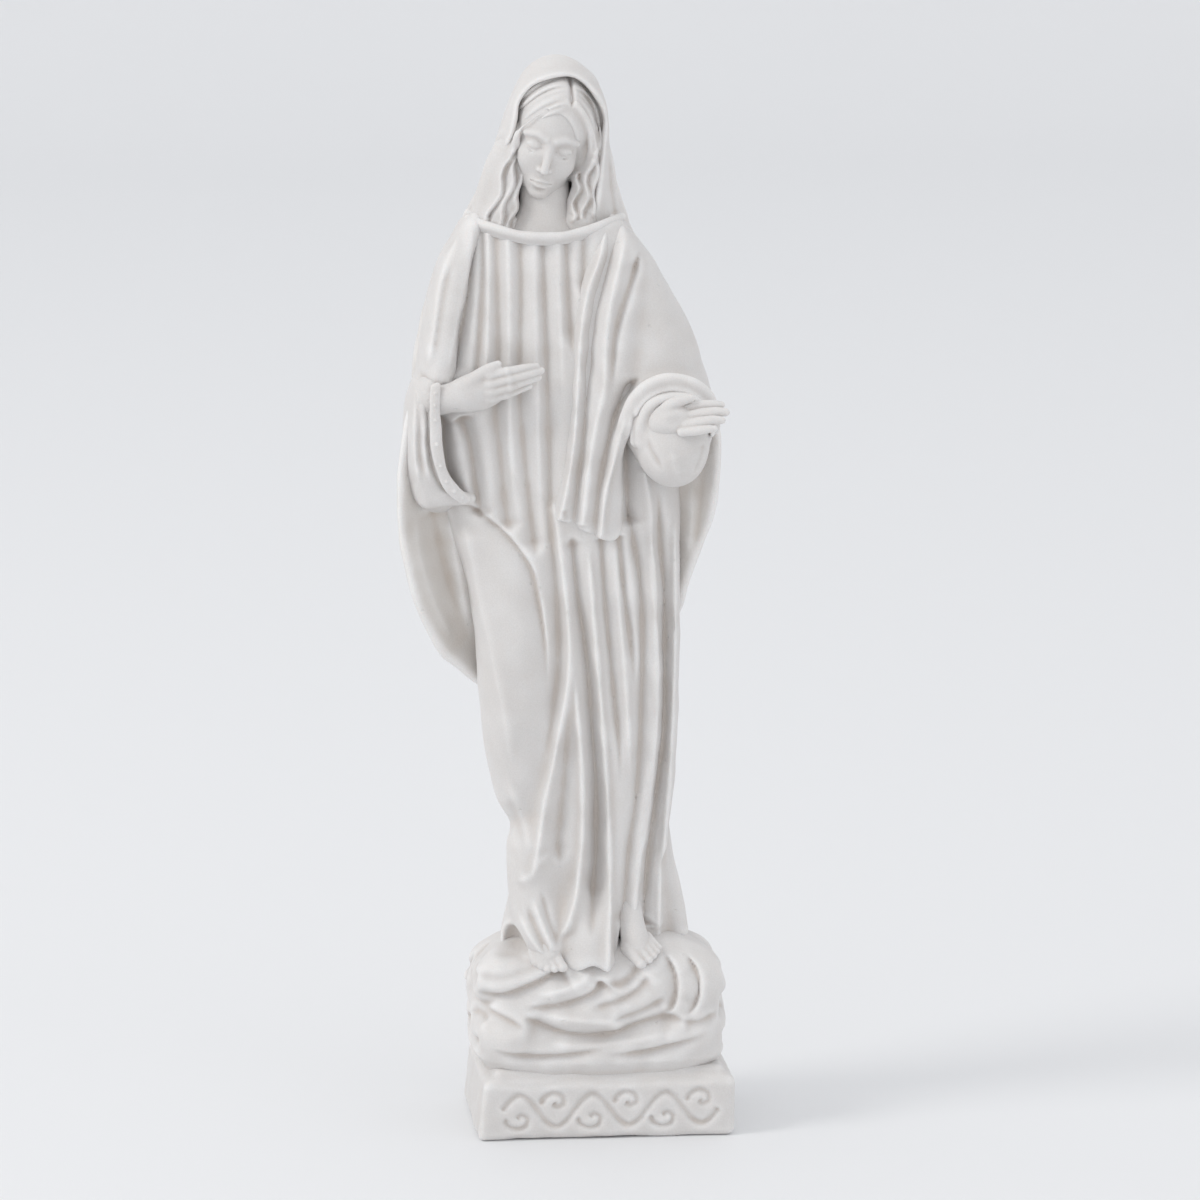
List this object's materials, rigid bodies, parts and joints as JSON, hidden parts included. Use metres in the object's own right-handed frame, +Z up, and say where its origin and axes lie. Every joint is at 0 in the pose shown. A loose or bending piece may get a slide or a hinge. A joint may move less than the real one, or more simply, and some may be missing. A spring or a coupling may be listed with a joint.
{
  "type": "madonna statue",
  "caption": "Small cast figure of a veiled woman standing on a cloud above a rectangular plinth, one hand on the chest and the other held out, for a shelf or home altar.",
  "frame": {"origin": "centre of the plinth's flat underside", "axes": "+Z up; the figure faces -Y; +X is towards the figure's own left side"},
  "size_m": [0.0313, 0.0213, 0.1],
  "materials": {
    "plaster": "matte cast plaster, uncoated"
  },
  "bodies": {
    "root": {"cloud": "plaster", "hair": "plaster", "head": "plaster", "left_cuff": "plaster", "left_foot": "plaster", "left_hand": "plaster", "left_sleeve": "plaster", "mantle_back": "plaster", "mantle_left_wing": "plaster", "mantle_right_wing": "plaster", "neck": "plaster", "neckline_band": "plaster", "plinth": "plaster", "right_arm_drape": "plaster", "right_cuff_band": "plaster", "right_foot": "plaster", "right_hand": "plaster", "right_sleeve": "plaster", "robe_bodice": "plaster", "robe_skirt": "plaster", "swag": "plaster", "veil": "plaster"}
  },
  "joints": []
}
